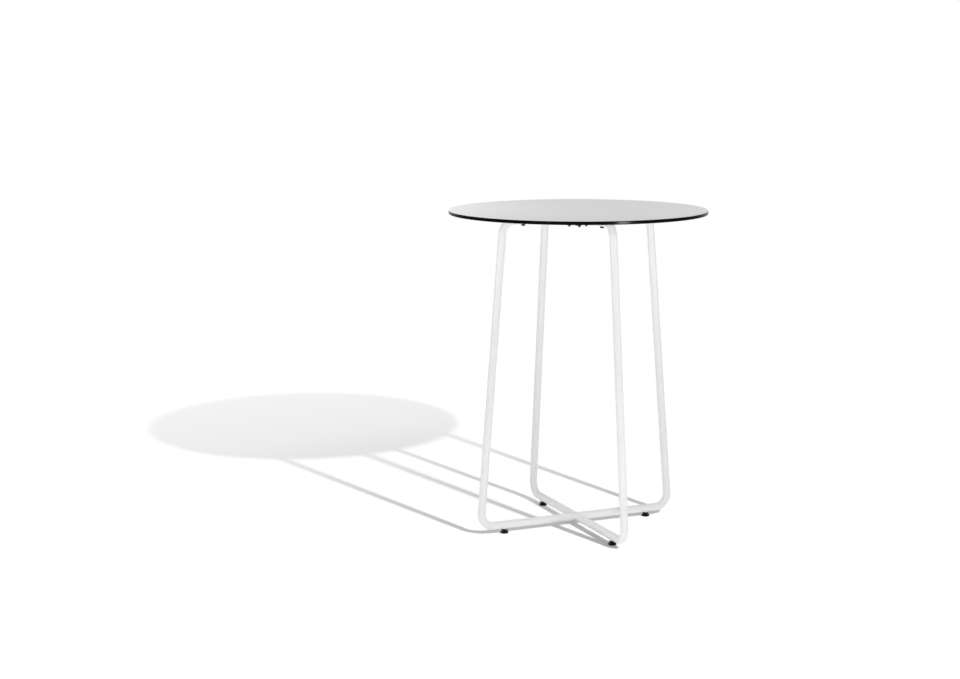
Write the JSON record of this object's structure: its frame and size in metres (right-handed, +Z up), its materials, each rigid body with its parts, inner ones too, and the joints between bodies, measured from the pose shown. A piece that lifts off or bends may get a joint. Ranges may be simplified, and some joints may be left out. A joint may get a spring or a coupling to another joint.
{
  "type": "round cafe table",
  "caption": "Small round outdoor cafe table: thin laminate top on crossed trapezoid loops of bent tube, with screw-adjustable levelling feet.",
  "frame": {"origin": "on the floor, under the middle of the round top", "axes": "+Z up; +X along the main loop to the right, +Y along the cross loop to the rear"},
  "size_m": [0.5999, 0.6, 0.75],
  "materials": {
    "decor_face": "satin light grey laminate",
    "decor_backing": "matt light grey laminate",
    "phenolic_core": "polished black edge",
    "frame_paint": "smooth satin white powder coat",
    "spacer_nylon": "moulded",
    "pad_nylon": "moulded",
    "black_steel": "black zinc",
    "brass_inserts": "turned"
  },
  "bodies": {
    "table": {"tabletop_face": "decor_face", "tabletop_core": "phenolic_core", "tabletop_backing": "decor_backing", "outer_inserts": "brass_inserts", "centre_inserts": "brass_inserts", "rail_spacers": "spacer_nylon", "centre_hub": "frame_paint", "main_loop": "frame_paint", "front_half_loop": "frame_paint", "rear_half_loop": "frame_paint", "hub_welds": "frame_paint", "crossing_welds": "frame_paint", "outer_screws": "black_steel", "centre_studs": "black_steel", "centre_washers": "black_steel", "centre_nuts": "black_steel", "foot_bush_left": "frame_paint", "foot_bush_right": "frame_paint", "foot_bush_front": "frame_paint", "foot_bush_rear": "frame_paint"},
    "pad_left": {"foot_pad_left": "pad_nylon"},
    "pad_right": {"foot_pad_right": "pad_nylon"},
    "pad_front": {"foot_pad_front": "pad_nylon"},
    "pad_rear": {"foot_pad_rear": "pad_nylon"},
    "stud_left": {"foot_stud_left": "black_steel"},
    "stud_right": {"foot_stud_right": "black_steel"},
    "stud_front": {"foot_stud_front": "black_steel"},
    "stud_rear": {"foot_stud_rear": "black_steel"}
  },
  "joints": [
    {"name": "foot_height_left", "type": "slide", "parent": "table", "child": "pad_left", "axis": [0, 0, -1], "range_m": [0, 0.0075]},
    {"name": "foot_turn_left", "type": "hinge", "parent": "pad_left", "child": "stud_left", "pos_m": [-0.1863, 0, 0.005], "axis": [0, 0, -1], "range_deg": [0, 2160]},
    {"name": "foot_height_right", "type": "slide", "parent": "table", "child": "pad_right", "axis": [0, 0, -1], "range_m": [0, 0.0075]},
    {"name": "foot_turn_right", "type": "hinge", "parent": "pad_right", "child": "stud_right", "pos_m": [0.1863, 0, 0.005], "axis": [0, 0, -1], "range_deg": [0, 2160]},
    {"name": "foot_height_front", "type": "slide", "parent": "table", "child": "pad_front", "axis": [0, 0, -1], "range_m": [0, 0.0075]},
    {"name": "foot_turn_front", "type": "hinge", "parent": "pad_front", "child": "stud_front", "pos_m": [0, -0.1863, 0.005], "axis": [0, 0, -1], "range_deg": [0, 2160]},
    {"name": "foot_height_rear", "type": "slide", "parent": "table", "child": "pad_rear", "axis": [0, 0, -1], "range_m": [0, 0.0075]},
    {"name": "foot_turn_rear", "type": "hinge", "parent": "pad_rear", "child": "stud_rear", "pos_m": [0, 0.1863, 0.005], "axis": [0, 0, -1], "range_deg": [0, 2160]}
  ],
  "couplings": [
    {"joint": "foot_height_left", "follows": "foot_turn_left", "m_per_rad": 0.00019894},
    {"joint": "foot_height_right", "follows": "foot_turn_right", "m_per_rad": 0.00019894},
    {"joint": "foot_height_front", "follows": "foot_turn_front", "m_per_rad": 0.00019894},
    {"joint": "foot_height_rear", "follows": "foot_turn_rear", "m_per_rad": 0.00019894}
  ]
}
